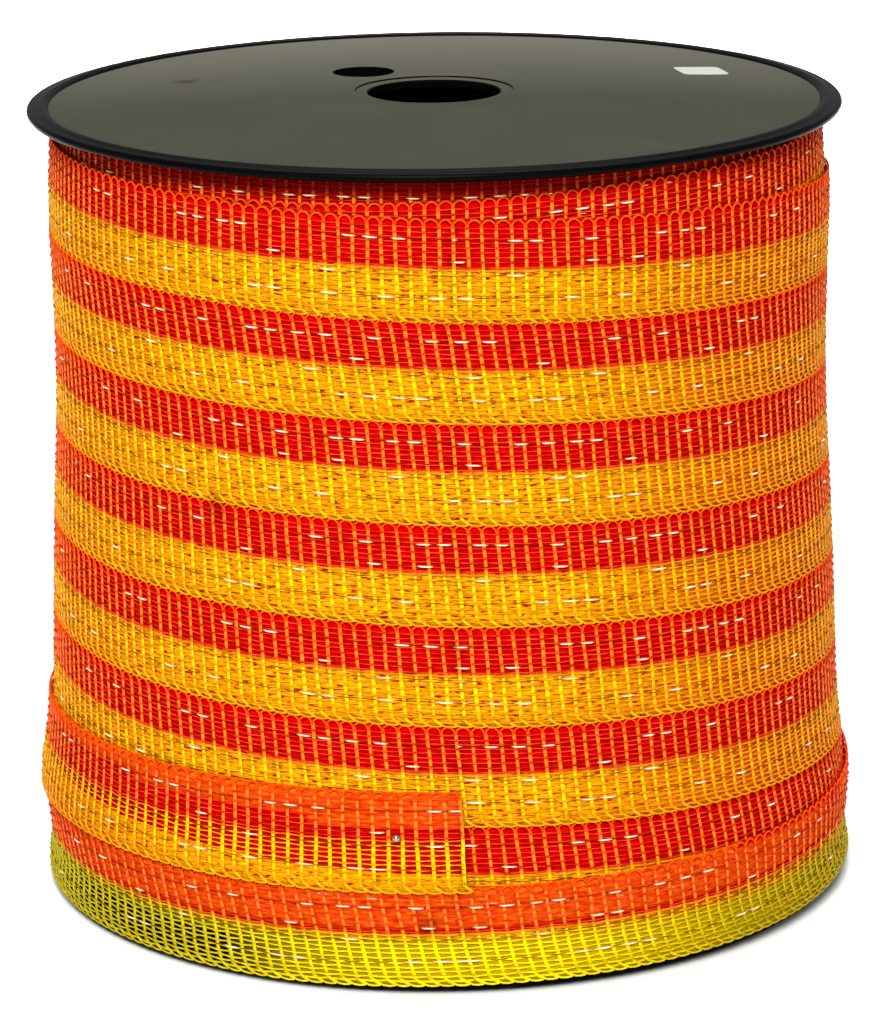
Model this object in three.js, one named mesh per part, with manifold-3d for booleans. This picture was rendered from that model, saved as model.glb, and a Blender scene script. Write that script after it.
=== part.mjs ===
// A full spool of woven electric fence tape, standing on its lower flange.
// Millimetres, +Z up. The origin is on the floor, at the middle of the spool's foot.
// Each piece is one closed solid: two moulded flanges, the hollow core tube between them,
// the wound tape, the pin that holds the tape's free end, and a small paper sticker.

import * as THREE from "three";
import { mergeVertices } from "three/addons/utils/BufferGeometryUtils.js";
import Module from "manifold-3d";

// Clearances
const seatGap = 0.3; // between two pieces that rest on each other
const fitGap = 0.3; // between a spigot or a pin and the hole round it

// Flanges
const flangeRadius = 80; // outside of the rolled rim
const spoolHeight = 157.5; // from the floor to the crest of the upper lip
const plateThickness = 2.2;
const lipHeight = 0.7; // the lip's crest above the face beside it
const rimWidth = 4.4; // from the groove inside the lip to the outside of the rim
const rimHeight = 2.4; // from the lip's crest to the rim's other side
const rimRounding = 1.1;
const lipSetback = 1.6; // from the rim's outside to the flat crest of the lip
const lipLandWidth = 1.4;
const crownRise = 1.9; // the upper face is this much higher in the middle than by the lip
const crownFlatRadius = 32.5; // inside this the crowned face is level
const boreRadius = 13.05;
const recessRadius = 15.5; // shallow round recess that the bore opens in
const recessDepth = 0.5;
const driveHoleRadius = 6.2;
const driveHoleReach = 25.2; // from the spool's axis to the drive hole's middle
const driveHoleAngle = 124; // degrees from +X, seen from above

// Core tube, which the flanges' spigots fit into
const coreRadius = 50;
const coreWall = 2.5;
const spigotWall = 2;
const spigotLength = 8;

// Wound tape
const tapeWidth = 19.6;
const turnPitch = 19.2; // from the top edge of one turn to that of the next
const skirtTop = 22; // top edge of the lowest turn, which hangs over the lower rim
const skirtHem = 1.5; // height of its lower edge
const skirtThickness = 1.2; // the tape outside the lower rim
const waistHeight = 9.2; // where the lowest turn draws in above the rim
const waistDepth = 0.7; // how far it draws in there
const skirtRound = 5; // from its top edge down to its fullest place
const coveredTurn = 11.2; // how much of the turn above shows over its top edge
const leastShoulder = 1; // least height of the layer that shows above the highest turn
const shoulderSetback = 0.6; // how far that layer lies inside the roll's surface
const rollSetback = 3; // the roll's outside at the upper lip, inside the rim
const rollSwell = 2.9; // the roll's outside at the floor, outside the rim
const turnStep = 0.35; // how far a turn's edges lie above and below the roll's surface

// The last turn's free end
const endAngle = 2.1; // degrees to the right of the front
const endHeight = 20.4; // height of its lower edge at the end
const endWrap = 120; // degrees that it lies raised, going round by the left
const endLift = 0.5; // how far its end stands proud of the roll
const endRoot = 1.2; // how deep the strip is let into the roll

// Pin through the free end
const pinAngle = 6.7; // degrees to the left of the front
const pinHeight = 31.4;
const pinHeadRadius = 0.78;
const pinShankRadius = 0.35;
const pinLength = 12;

// Paper sticker on the upper face
const stickerReach = 59.3; // from the spool's axis to the sticker's middle
const stickerAngle = 24.6; // degrees from +X, seen from above
const stickerTurn = 12.7; // degrees that it lies turned, seen from above
const stickerSize = 9.5;
const stickerCorner = 1.3;
const stickerThickness = 0.15;

// Fineness
const roundSides = 60;
const stripSteps = 30;
const holeSides = 24;
const smallSides = 12;

const degrees = Math.PI / 180;

// Materials
function finish(color, roughness, metalness) {
  return new THREE.MeshStandardMaterial({ color, roughness, metalness });
}
const blackPlastic = finish("#3c3c36", 0.42, 0);
const corePlastic = finish("#24241f", 0.5, 0);
const wovenTape = finish("#ee7a12", 0.7, 0);
const steel = finish("#b5b5b2", 0.3, 1);
const paper = finish("#eceae4", 0.75, 0);

// Joining and cutting
const wasm = await Module();
wasm.setup();

function solidOf(geometry) {
  const bare = geometry.clone();
  bare.deleteAttribute("normal");
  bare.deleteAttribute("uv");
  const merged = mergeVertices(bare, 1e-4);
  return new wasm.Manifold(
    new wasm.Mesh({
      numProp: 3,
      vertProperties: new Float32Array(merged.attributes.position.array),
      triVerts: new Uint32Array(merged.index.array),
    }),
  );
}

function geometryOf(solid) {
  const mesh = solid.getMesh();
  const geometry = new THREE.BufferGeometry();
  geometry.setAttribute("position", new THREE.BufferAttribute(mesh.vertProperties, 3));
  geometry.setIndex(new THREE.BufferAttribute(mesh.triVerts, 1));
  geometry.computeVertexNormals();
  return geometry;
}

// A profile of [radius, height] pairs, run up the outside and back down the inside, is
// turned round the Z axis. With no inside the profile ends on the axis.
function turned(profile, sides = roundSides) {
  const points = profile.map(([radius, height]) => new THREE.Vector2(radius, height));
  const closed = profile[0][0] > 0;
  if (closed) points.push(points[0].clone());
  return new THREE.LatheGeometry(points, sides).rotateX(Math.PI / 2);
}

// A straight pin along +Z from the origin.
function upright(radius, length, sides) {
  const rod = new THREE.CylinderGeometry(radius, radius, length, sides);
  return rod.rotateX(Math.PI / 2).translate(0, 0, length / 2);
}

// Flanges. Heights are measured outwards from the lip's crest.
const rimInside = flangeRadius - rimWidth;
const faceAtLip = -lipHeight;
const lipLandOutside = flangeRadius - lipSetback;

function flangeProfile(crown) {
  const faceAtMiddle = faceAtLip + crown;
  const backAtLip = faceAtLip - plateThickness;
  const backAtMiddle = faceAtMiddle - plateThickness;
  const spigotOutside = coreRadius - coreWall - fitGap;
  const spigotInside = spigotOutside - spigotWall;
  const fall = crown / (rimInside - crownFlatRadius);
  const backAt = (radius) => backAtMiddle - (radius - crownFlatRadius) * fall;
  const spigotEnd = backAt(spigotOutside) - spigotLength;
  return [
    [boreRadius, backAtMiddle],
    [crownFlatRadius, backAtMiddle],
    [spigotInside, backAt(spigotInside)],
    [spigotInside, spigotEnd],
    [spigotOutside, spigotEnd],
    [spigotOutside, backAt(spigotOutside)],
    [rimInside, backAtLip],
    [flangeRadius - rimRounding, -rimHeight],
    [flangeRadius, -rimHeight + rimRounding / 2],
    [flangeRadius, -rimRounding],
    [lipLandOutside, 0],
    [lipLandOutside - lipLandWidth, 0],
    [rimInside, faceAtLip],
    [crownFlatRadius, faceAtMiddle],
    [recessRadius, faceAtMiddle],
    [recessRadius, faceAtMiddle - recessDepth],
    [boreRadius, faceAtMiddle - recessDepth],
  ];
}

const driveHoleX = driveHoleReach * Math.cos(driveHoleAngle * degrees);
const driveHoleY = driveHoleReach * Math.sin(driveHoleAngle * degrees);

// A drill for the drive hole that reaches one plate's thickness past both faces.
function driveDrill(foot, top) {
  const length = top - foot + 2 * plateThickness;
  const drill = upright(driveHoleRadius, length, holeSides);
  return drill.translate(driveHoleX, driveHoleY, foot - plateThickness);
}

function topFlange() {
  const disc = turned(flangeProfile(crownRise)).translate(0, 0, spoolHeight);
  const face = spoolHeight - lipHeight;
  const drill = driveDrill(face - plateThickness, face + crownRise);
  return geometryOf(solidOf(disc).subtract(solidOf(drill)));
}

// The lower flange faces down, and its face is level, so that it stands on its lip.
function bottomFlange() {
  const profile = flangeProfile(0).map(([radius, height]) => [radius, -height]);
  const disc = turned(profile.reverse());
  const drill = driveDrill(lipHeight, lipHeight + plateThickness);
  return geometryOf(solidOf(disc).subtract(solidOf(drill)));
}

// Inner faces of the two flanges, which the core tube and the tape lie between
const lowerInnerFace = lipHeight + plateThickness;
const crownFall = crownRise / (rimInside - crownFlatRadius);

function upperInnerFace(radius) {
  const beyondFlat = Math.max(0, radius - crownFlatRadius);
  return spoolHeight - lipHeight + crownRise - plateThickness - beyondFlat * crownFall;
}

function coreTube() {
  const inside = coreRadius - coreWall;
  const foot = lowerInnerFace + seatGap;
  const outerTop = upperInnerFace(coreRadius) - seatGap;
  const innerTop = upperInnerFace(inside) - seatGap;
  return turned([
    [coreRadius, foot],
    [coreRadius, outerTop],
    [inside, innerTop],
    [inside, foot],
  ]);
}

// The roll grows fuller towards its foot.
const rollTopRadius = flangeRadius - rollSetback;
const rollFootRadius = flangeRadius + rollSwell;

function rollRadius(height) {
  const depth = 1 - height / spoolHeight;
  return rollTopRadius + (rollFootRadius - rollTopRadius) * depth * depth;
}

// Going up: the lowest turn, which hangs over the lower rim, the turn that it half covers,
// as many full turns as there is room for, and the shoulder of the layer beneath them.
const rollFoot = lowerInnerFace + seatGap;
const shoulderRadius = rollTopRadius - shoulderSetback;
const shoulderTop = upperInnerFace(shoulderRadius) - seatGap;
const lowestFullTurn = skirtTop + coveredTurn;
const fullTurns = Math.floor((shoulderTop - leastShoulder - lowestFullTurn) / turnPitch);

function skirtProfile() {
  const inside = flangeRadius + seatGap;
  const outside = inside + skirtThickness;
  const fullest = rollRadius(skirtTop) + turnStep;
  return [
    [inside, rollFoot],
    [inside, skirtHem],
    [outside, skirtHem],
    [outside, rollFoot],
    [outside - waistDepth, waistHeight],
    [fullest, skirtTop - skirtRound],
    [fullest, skirtTop],
    [rollRadius(skirtTop) - turnStep, skirtTop],
  ];
}

function rollProfile() {
  const bore = coreRadius + seatGap;
  const profile = [[bore, rollFoot], ...skirtProfile()];
  for (let turn = 0; turn <= fullTurns; turn += 1) {
    const edge = lowestFullTurn + turn * turnPitch;
    const highest = turn === fullTurns;
    profile.push([rollRadius(edge) - turnStep, edge]);
    profile.push([highest ? shoulderRadius : rollRadius(edge) + turnStep, edge]);
  }
  profile.push([shoulderRadius, shoulderTop]);
  profile.push([bore, upperInnerFace(bore) - seatGap]);
  return profile;
}

// How far the free end stands proud, from its end at 0 to where it has sunk in at 1.
function proud(along) {
  return endLift - (endLift + endRoot / 2) * along;
}

// A ribbon bent round the roll. Its length becomes an angle that runs from the front round
// by the left, its depth a distance from the roll's surface, and its width a height.
function freeEnd() {
  const ribbon = new THREE.BoxGeometry(endWrap, 1, tapeWidth, stripSteps, 1, 2);
  const position = ribbon.attributes.position;
  for (let i = 0; i < position.count; i += 1) {
    const along = position.getX(i) / endWrap + 0.5;
    const angle = (along * endWrap - endAngle) * degrees;
    const height = endHeight + tapeWidth / 2 + position.getZ(i);
    const outer = position.getY(i) > 0;
    const radius = rollRadius(height) + (outer ? proud(along) : -endRoot);
    position.setXYZ(i, -radius * Math.sin(angle), -radius * Math.cos(angle), height);
  }
  return ribbon;
}

// Turns a shape that lies along +Z so that it points outwards through the free end.
function outwardAtPin(geometry, distance) {
  geometry.rotateX(Math.PI / 2).translate(0, -distance, 0);
  return geometry.rotateZ(-pinAngle * degrees).translate(0, 0, pinHeight);
}

const pinSeat = rollRadius(pinHeight) + proud((pinAngle + endAngle) / endWrap);

function tapeRoll() {
  const drill = upright(pinShankRadius + fitGap, pinLength + 2 * seatGap, smallSides);
  drill.rotateX(Math.PI).translate(0, 0, seatGap);
  return geometryOf(
    solidOf(turned(rollProfile()))
      .add(solidOf(freeEnd()))
      .subtract(solidOf(outwardAtPin(drill, pinSeat))),
  );
}

function endPin() {
  const rings = smallSides / 2;
  const neckAngle = Math.asin(pinShankRadius / pinHeadRadius);
  const headMiddle = seatGap + pinHeadRadius;
  const profile = [[0, -pinLength], [pinShankRadius, -pinLength + pinShankRadius]];
  for (let ring = 0; ring <= rings; ring += 1) {
    const angle = neckAngle + ((Math.PI - neckAngle) * ring) / rings;
    const radius = ring === rings ? 0 : pinHeadRadius * Math.sin(angle);
    profile.push([radius, headMiddle - pinHeadRadius * Math.cos(angle)]);
  }
  return outwardAtPin(turned(profile, smallSides), pinSeat);
}

function sticker() {
  const half = stickerSize / 2;
  const inner = half - stickerCorner;
  const outline = new THREE.Shape();
  outline.absarc(inner, inner, stickerCorner, 0, Math.PI / 2);
  outline.absarc(-inner, inner, stickerCorner, Math.PI / 2, Math.PI);
  outline.absarc(-inner, -inner, stickerCorner, Math.PI, 1.5 * Math.PI);
  outline.absarc(inner, -inner, stickerCorner, 1.5 * Math.PI, 2 * Math.PI);
  const options = { depth: stickerThickness, bevelEnabled: false, curveSegments: 4 };
  const sheet = new THREE.ExtrudeGeometry(outline, options);
  const faceHeight = upperInnerFace(stickerReach) + plateThickness;
  const slope = Math.atan(crownFall);
  return sheet
    .rotateZ((stickerTurn - stickerAngle) * degrees)
    .rotateY(slope)
    .translate(stickerReach, 0, faceHeight + seatGap)
    .rotateZ(stickerAngle * degrees);
}

// The spool
const spool = new THREE.Group();

function addPiece(name, geometry, material) {
  const piece = new THREE.Mesh(geometry, material);
  piece.name = name;
  spool.add(piece);
}

addPiece("bottom_flange", bottomFlange(), blackPlastic);
addPiece("core_tube", coreTube(), corePlastic);
addPiece("tape_roll", tapeRoll(), wovenTape);
addPiece("top_flange", topFlange(), blackPlastic);
addPiece("end_pin", endPin(), steel);
addPiece("label_sticker", sticker(), paper);

export default spool;
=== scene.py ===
# %% [markdown]
# A full spool of woven electric fence tape
# The object is a moulded black plastic spool, wound full with a flat woven tape. The tape
# is orange in its upper half and yellow in its lower half, and four fine steel wires run
# along it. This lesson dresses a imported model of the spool: the pieces of that model give
# every size, and each cell below makes one piece or one finish as it is on the real thing.

import bpy
import mathutils
import numpy as np
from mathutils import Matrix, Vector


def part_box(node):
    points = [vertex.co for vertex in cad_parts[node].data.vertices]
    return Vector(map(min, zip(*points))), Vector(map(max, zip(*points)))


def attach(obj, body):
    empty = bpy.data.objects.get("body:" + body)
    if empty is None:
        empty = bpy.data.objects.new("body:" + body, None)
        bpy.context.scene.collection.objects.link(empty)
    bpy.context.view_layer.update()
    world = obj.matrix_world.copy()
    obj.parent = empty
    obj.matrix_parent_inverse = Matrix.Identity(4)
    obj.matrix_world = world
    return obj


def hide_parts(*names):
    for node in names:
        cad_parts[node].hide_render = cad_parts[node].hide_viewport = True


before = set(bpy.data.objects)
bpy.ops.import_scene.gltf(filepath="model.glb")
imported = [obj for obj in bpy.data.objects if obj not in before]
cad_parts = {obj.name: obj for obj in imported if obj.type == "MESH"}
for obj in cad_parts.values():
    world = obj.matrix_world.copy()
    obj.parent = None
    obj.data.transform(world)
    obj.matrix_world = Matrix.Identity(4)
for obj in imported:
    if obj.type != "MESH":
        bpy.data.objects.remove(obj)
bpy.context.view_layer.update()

# %% [markdown]
# Sizes
# Real sizes are written in millimetres, because that is how a spool maker would give them,
# and MM turns them to metres. The flanges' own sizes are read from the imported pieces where
# they can be, so that what is made here sits on what it replaces.

# %% Sizes that the whole spool shares
MM = 0.001
TURN = 2 * np.pi

top_low, top_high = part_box("top_flange")
roll_low, roll_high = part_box("tape_roll")
FLANGE_RADIUS = top_high.x / MM
CROWN_HEIGHT = top_high.z / MM
CROWN_ABOVE_LIP = 1.2
SHARP_ANGLE = np.radians(40)
LIP_HEIGHT = CROWN_HEIGHT - CROWN_ABOVE_LIP
print("flange radius", round(FLANGE_RADIUS, 2), "lip at", round(LIP_HEIGHT, 2))

# %% [markdown]
# Helpers for meshes
# Almost every piece here is a set of rings joined into a skin: a flange is one ring of
# profile points turned round the axis, and a thread is a small ring carried along a path.
# So one function joins rings, for any number of threads at once, and another puts the
# arrays into a Blender mesh in one go, which stays quick with many thousands of faces.


# %% Join rings into a skin
def skin(rings, closed_path=False):
    """Vertices and faces of T tubes, each of N rings with K points.

    rings is an array (T, N, K, 3). Point k of ring n is joined to point k of ring n + 1
    and to point k + 1 of its own ring, and the last point of a ring to its first. An open
    path gets its first and last ring as end faces. Faces look outwards when a ring runs
    from the side vector, tangent x up, towards the up vector.
    """
    tubes, count, points, _ = rings.shape
    index = np.arange(tubes * count * points).reshape(tubes, count, points)
    after = np.roll(index, -1, axis=1) if closed_path else index[:, 1:]
    here = index if closed_path else index[:, :-1]
    quads = np.stack(
        [here, after, np.roll(after, -1, axis=2), np.roll(here, -1, axis=2)], axis=-1
    )
    faces = [quads.reshape(-1, 4)]
    if not closed_path:
        faces.append(index[:, 0])
        faces.append(index[:, -1, ::-1])
    return rings.reshape(-1, 3), faces


def outward(points, faces):
    """The faces, all flipped if the volume they enclose is negative.

    The volume is the sum over the faces' fans of a . (b x c) / 6.
    """
    volume = 0.0
    for face in faces:
        for k in range(1, face.shape[1] - 1):
            a, b, c = points[face[:, 0]], points[face[:, k]], points[face[:, k + 1]]
            volume += np.einsum("ij,ij->i", a, np.cross(b, c)).sum() / 6
    return faces if volume > 0 else [face[:, ::-1] for face in faces]


def mesh_of(name, parts, materials, smooth_angle=None):
    """A mesh object from parts, each (vertices, faces, material index, uv or None).

    The vertex arrays are stacked, and each part's face indices are raised by the number
    of vertices before it. uv holds one pair per vertex and is spread to the corners.
    """
    mesh = bpy.data.meshes.new(name)
    vertices, corners, sizes, slots, uvs = [], [], [], [], []
    before = 0
    for points, faces, slot, uv in parts:
        vertices.append(points)
        uv = np.zeros((len(points), 2)) if uv is None else uv
        for face in outward(points, faces):
            corners.append((face + before).ravel())
            sizes.append(np.full(len(face), face.shape[1]))
            slots.append(np.full(len(face), slot))
            uvs.append(uv[face.ravel()])
        before += len(points)
    vertices = np.concatenate(vertices)
    corners = np.concatenate(corners)
    sizes = np.concatenate(sizes)
    mesh.vertices.add(len(vertices))
    mesh.vertices.foreach_set("co", (vertices * MM).ravel())
    mesh.loops.add(len(corners))
    mesh.loops.foreach_set("vertex_index", corners)
    mesh.polygons.add(len(sizes))
    mesh.polygons.foreach_set("loop_start", np.cumsum(sizes) - sizes)
    mesh.polygons.foreach_set("loop_total", sizes)
    mesh.polygons.foreach_set("material_index", np.concatenate(slots))
    mesh.update(calc_edges=True)
    layer = mesh.uv_layers.new(name="tape")
    layer.data.foreach_set("uv", np.concatenate(uvs).ravel())
    mesh.shade_smooth()
    if smooth_angle is not None:
        mesh.set_sharp_from_angle(angle=smooth_angle)
    mesh.validate()
    for material in materials:
        mesh.materials.append(material)
    piece = bpy.data.objects.new(name, mesh)
    bpy.context.scene.collection.objects.link(piece)
    return piece


def triangles(piece):
    """How many triangles a piece has: a face with n corners makes n - 2."""
    return sum(len(face.vertices) - 2 for face in piece.data.polygons)


def turned(radius, height, steps):
    """A closed outline turned round the axis: x = r sin(a), y = -r cos(a), z = height."""
    angle = TURN * np.arange(steps) / steps
    rings = np.empty((1, steps, len(radius), 3))
    rings[0, :, :, 0] = np.sin(angle)[:, None] * radius
    rings[0, :, :, 1] = -np.cos(angle)[:, None] * radius
    rings[0, :, :, 2] = height
    return skin(rings, closed_path=True)


ring_points, ring_faces = turned(np.array([9.0, 10.0, 10.0]), np.array([0.0, 0.0, 1.0]), 36)
print("a small turned ring has", len(ring_points), "points,", len(ring_faces[0]), "faces")


# %% [markdown]
# Helpers for materials
# Colours are written as sRGB hex values, the way a picture shows them, and one function
# turns them to the linear values that Blender works with. One small function adds a node
# with its settings and links, so that a material reads from top to bottom like a recipe.


# %% Colour and node helpers
def linear(hex_colour):
    """sRGB hex to linear RGBA: c / 12.92 below 0.04045, else ((c + 0.055) / 1.055)^2.4."""
    srgb = np.array([int(hex_colour[i : i + 2], 16) for i in (1, 3, 5)]) / 255
    low = srgb / 12.92
    high = ((srgb + 0.055) / 1.055) ** 2.4
    return (*np.where(srgb <= 0.04045, low, high).tolist(), 1.0)


def add(tree, kind, settings=None, **inputs):
    """Adds a node, sets its own properties, and sets or links its inputs.

    An input is named as its socket, with _ for a space, or as in_0 for its number. A
    socket given as the value is linked, and any other value becomes its default.
    """
    node = tree.nodes.new(kind)
    for name, value in (settings or {}).items():
        setattr(node, name, value)
    for name, value in inputs.items():
        key = int(name[3:]) if name.startswith("in_") else name.replace("_", " ")
        socket = node.inputs[key]
        if isinstance(value, bpy.types.NodeSocket):
            tree.links.new(value, socket)
        else:
            socket.default_value = value
    return node


def ramp(node, *stops):
    """Sets a colour ramp's stops, each (place from 0 to 1, sRGB hex)."""
    elements = node.color_ramp.elements
    while len(elements) < len(stops):
        elements.new(0.5)
    for element, (place, colour) in zip(elements, stops):
        element.position = place
        element.color = linear(colour)


def blank_material(name):
    """A material with an empty node tree, and that tree."""
    material = bpy.data.materials.new(name)
    material.use_nodes = True
    material.node_tree.nodes.clear()
    return material, material.node_tree


def plain_material(name, colour, roughness, specular=0.5, metallic=0.0):
    """One even colour."""
    material, tree = blank_material(name)
    shader = add(
        tree, "ShaderNodeBsdfPrincipled", Base_Color=linear(colour), Roughness=roughness,
        Specular_IOR_Level=specular, Metallic=metallic,
    )
    add(tree, "ShaderNodeOutputMaterial", Surface=shader.outputs[0])
    return material


# A Map Range node takes a value in 0, the range it comes from in 1 and 2, and the range it
# goes to in 3 and 4. A Mix node set to colours takes the share in 0 and the two colours in
# 6 and 7, and gives its result in output 2.
OF_COLOURS = {"data_type": "RGBA"}


def spotted(tree, place, colour, spots):
    """The colour, darkened round each spot (middle in mm, reach in mm, strength)."""
    for middle, reach, strength in spots:
        point = tuple(value * MM for value in middle)
        gap = add(
            tree, "ShaderNodeVectorMath", {"operation": "DISTANCE"}, in_0=place, in_1=point
        )
        dark = add(
            tree, "ShaderNodeMapRange", in_0=gap.outputs["Value"], in_1=0.2 * reach * MM,
            in_2=reach * MM, in_3=strength, in_4=0.0,
        )
        colour = add(
            tree, "ShaderNodeMix", OF_COLOURS, in_0=dark.outputs[0], in_6=colour,
            in_7=linear("#140402"),
        ).outputs[2]
    return colour


print("white in linear values:", linear("#ffffff")[:3])

# %% [markdown]
# The winding
# The tape is one long ribbon. Going round the spool it runs down in a helix, then level
# over the lower rim, and its last turn climbs back up and ends at the front, where its
# loose end lies raised and is pinned. So a point of the tape has three numbers: how far
# round it is, counted on past 360 degrees from one turn to the next, how far below the
# ribbon's top edge it is, and how far outside the ribbon's middle it stands. Every thread
# is then placed by the same function.

# %% Heights and radii of the winding
TAPE_WIDTH = 19.3
TURN_PITCH = 19.2
OVERLAP_FROM = 2420
SECOND_OVERLAP_FROM = 2700
TAPE_END = 2882
MIDDLE_DEPTH = 0.42
HEM_HEIGHT = 1.6
ROLL_SHIFT = 0.65
FOOT_FULLNESS = 0.8
FULLEST_AT = 40
FULLNESS_TOP = 18

# How far round, in degrees from the front to the right, and the top edge's height there.
# The first rows are the layer below, which shows only close under the upper rim. The tape
# ends at 2882, and from 2935 on the rows are the layer at the foot that shows at the back.
TOP_EDGE = np.array(
    [
        (-830, 154.4), (-660, 154.4), (-560, 148.0), (-460, 149.2), (-405, 149.9),
        (-369, 150.8), (-360, 151.2), (-325, 152.9), (-290, 153.9),
        (-250, 154.2), (-180, 154.2), (-125, 153.8), (-60, 151.3), (0, 148.1),
        (360, 129.1), (720, 109.9), (1080, 90.7), (1440, 71.5), (1800, 52.3),
        (2160, 33.1), (2330, 24.2), (2440, 19.6), (2520, 21.5), (2600, 23.0),
        (2700, 29.5), (2780, 38.4), (2830, 39.6), (2882, 40.0), (2900, 40.1),
        (2910, 40.1), (2935, 19.6), (2940, 19.6), (3200, 19.6),
    ]
)

# Height above the floor, and the outside of the winding there.
OUTSIDE = np.array(
    [
        (0, 81.3), (4, 81.4), (9.2, 80.7), (14, 81.2), (19, 81.7), (24, 81.4),
        (30, 80.4), (38, 79.6), (48, 79.2), (62, 78.7), (80, 77.9), (97, 77.0),
        (110, 76.8), (125, 77.0), (138, 77.3), (150, 76.8), (158, 76.4),
    ]
)

# How far round, and how far the ribbon lies above the winding's own surface.
LIFT = np.array(
    [
        (-830, -1.0), (-780, -1.1), (-700, -1.8), (-460, -1.5), (-360, -0.95),
        (-200, -0.9), (-60, 0), (1920, 0), (2000, -0.45), (2340, -0.45), (2450, 0.1),
        (2520, 0.4), (2680, 0.5), (2760, 0.85), (2882, 1.0),
        (2900, 1.0), (2935, -1.25), (3200, -1.25),
    ]
)


def smooth_through(x, knots):
    """A smooth curve through knots (x, y).

    Between two knots it is the cubic Hermite polynomial, whose slope at a knot is the
    slope of the straight line between the knots on either side of it.
    """
    at, value = knots[:, 0], knots[:, 1]
    slope = np.gradient(value, at)
    i = np.clip(np.searchsorted(at, x) - 1, 0, len(at) - 2)
    width = at[i + 1] - at[i]
    t = np.clip((x - at[i]) / width, 0, 1)
    start = (1 + 2 * t) * (1 - t) ** 2 * value[i] + t * (1 - t) ** 2 * width * slope[i]
    end = t * t * (3 - 2 * t) * value[i + 1] + t * t * (t - 1) * width * slope[i + 1]
    return start + end


def tape_point(around, below, out):
    """A point of the tape, in mm, and the outward direction there.

    height = top edge - below, squeezed where the ribbon would pass the hem;
    radius = outside(height) - the middle's depth + lift + out + fullness, where the
    fullness is how far the tape bulges over the lower rim, most of all in front on the
    right; x = radius sin(around) + shift, y = -radius cos(around). below runs from 0 at
    the top edge to the tape's width.
    """
    top = smooth_through(around, TOP_EDGE)
    foot = np.maximum(top - TAPE_WIDTH, HEM_HEIGHT)
    height = top + (foot - top) * below / TAPE_WIDTH
    lift = np.interp(around, LIFT[:, 0], LIFT[:, 1])
    toward = np.clip(np.cos(np.radians(around - FULLEST_AT)), 0, 1)
    fullness = FOOT_FULLNESS * toward * np.clip(1 - height / FULLNESS_TOP, 0, 1)
    radius = smooth_through(height, OUTSIDE) - MIDDLE_DEPTH + lift + out + fullness
    angle = np.radians(around)
    outward = np.stack([np.sin(angle), -np.cos(angle), np.zeros_like(angle)], axis=-1)
    point = outward * radius[..., None]
    point[..., 0] += ROLL_SHIFT
    point[..., 2] = height
    return point, outward


first_turn = tape_point(np.array([0.0]), np.array([0.0]), np.array([0.0]))[0]
print("top edge of the first full turn, mm:", first_turn.round(2).tolist())

# %% [markdown]
# The weave
# The tape is woven on a needle loom. Each pick of the weft goes across and comes back, so
# a pick is a flat pair of yarns, 2.7 mm from the next one. At the upper edge each pick
# turns over into the next in a round arch, and at the lower edge the picks are knitted
# together by a slanting stitch. Fine warp threads run along the tape, over one pick and
# under the next, and so do four steel wires. All of them are tubes of three or four
# sides, because on the whole spool there are tens of thousands of crossings.

# %% Sizes of the weave
PICKS_A_TURN = 182
PICK_DEGREES = 360 / PICKS_A_TURN
TURNS_SHOWN = 9
LAST_PICK = int(TAPE_END / PICK_DEGREES)
FIRST_PICK = LAST_PICK - TURNS_SHOWN * PICKS_A_TURN
MEAN_RADIUS = 78.5
MM_A_DEGREE = MEAN_RADIUS * np.pi / 180

COLOUR_CHANGE = 9.1
ORANGE_WARPS = np.linspace(1.6, COLOUR_CHANGE - 0.35, 9)
YELLOW_WARPS = np.linspace(COLOUR_CHANGE + 0.3, 18.3, 11)
STEEL_WIRES = np.array([3.6, 7.8, 10.2, 14.6])
ARCH_DEPTH = 1.5
STITCH_TOP = TAPE_WIDTH - 1.45
LOOSE_END_MIDDLE = 2820
LOOSE_END_REACH = 80

SHEET_ROWS = 11
SHEET_EDGE = 0.12
SHEET_OUT = (-0.35, -0.43)
YELLOW_FROM = 0.46

# How far round, and how far a pick leans: mm to the right for each mm down.
LEAN = np.array(
    [
        (-460, 0.0), (-90, 0.02), (90, 0.02), (270, 0.16), (450, 0.16), (630, 0.1),
        (990, 0.09), (1350, 0.08), (1710, 0.1), (2070, 0.09), (2440, 0.14), (2600, 0.16),
        (2790, 0.05), (2900, 0.04),
    ]
)


def tubes(path, outward, half_width, half_height, sides):
    """Rings of K sides round T paths of N points: centre + side a cos t + up b sin t.

    side is the unit vector of tangent x outward. With three sides one corner points
    outwards, and with four sides a flat face does.
    """
    tangent = np.gradient(path, axis=1)
    side = np.cross(tangent, outward)
    side /= np.linalg.norm(side, axis=-1, keepdims=True)
    turn = TURN * np.arange(sides) / sides + (np.pi / 4 if sides == 4 else np.pi / 2)
    half_width = np.broadcast_to(half_width, path.shape[:2])[:, :, None, None]
    across = side[:, :, None] * half_width * np.cos(turn)[:, None]
    upward = outward[:, :, None] * half_height * np.sin(turn)[:, None]
    return path[:, :, None] + across + upward


def tape_uv(around, below, sides):
    """u is the distance along the tape in metres, and v is 1 at the top edge, 0 below."""
    u = around * MM_A_DEGREE * MM
    v = 1 - below / TAPE_WIDTH
    pair = np.stack(np.broadcast_arrays(u, v), axis=-1)
    return np.repeat(pair.reshape(-1, 2), sides, axis=0)


def threads(around, below, out, half_width, half_height, sides, slot):
    """One part for mesh_of: T threads through (around, below, out), each (T, N)."""
    around, below, out = np.broadcast_arrays(around, below, out)
    path, outward = tape_point(around, below, out)
    points, faces = skin(tubes(path, outward, half_width, half_height, sides))
    return points, faces, slot, tape_uv(around, below, sides)


print("picks round one turn:", PICKS_A_TURN, "wires:", len(STEEL_WIRES))

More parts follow.
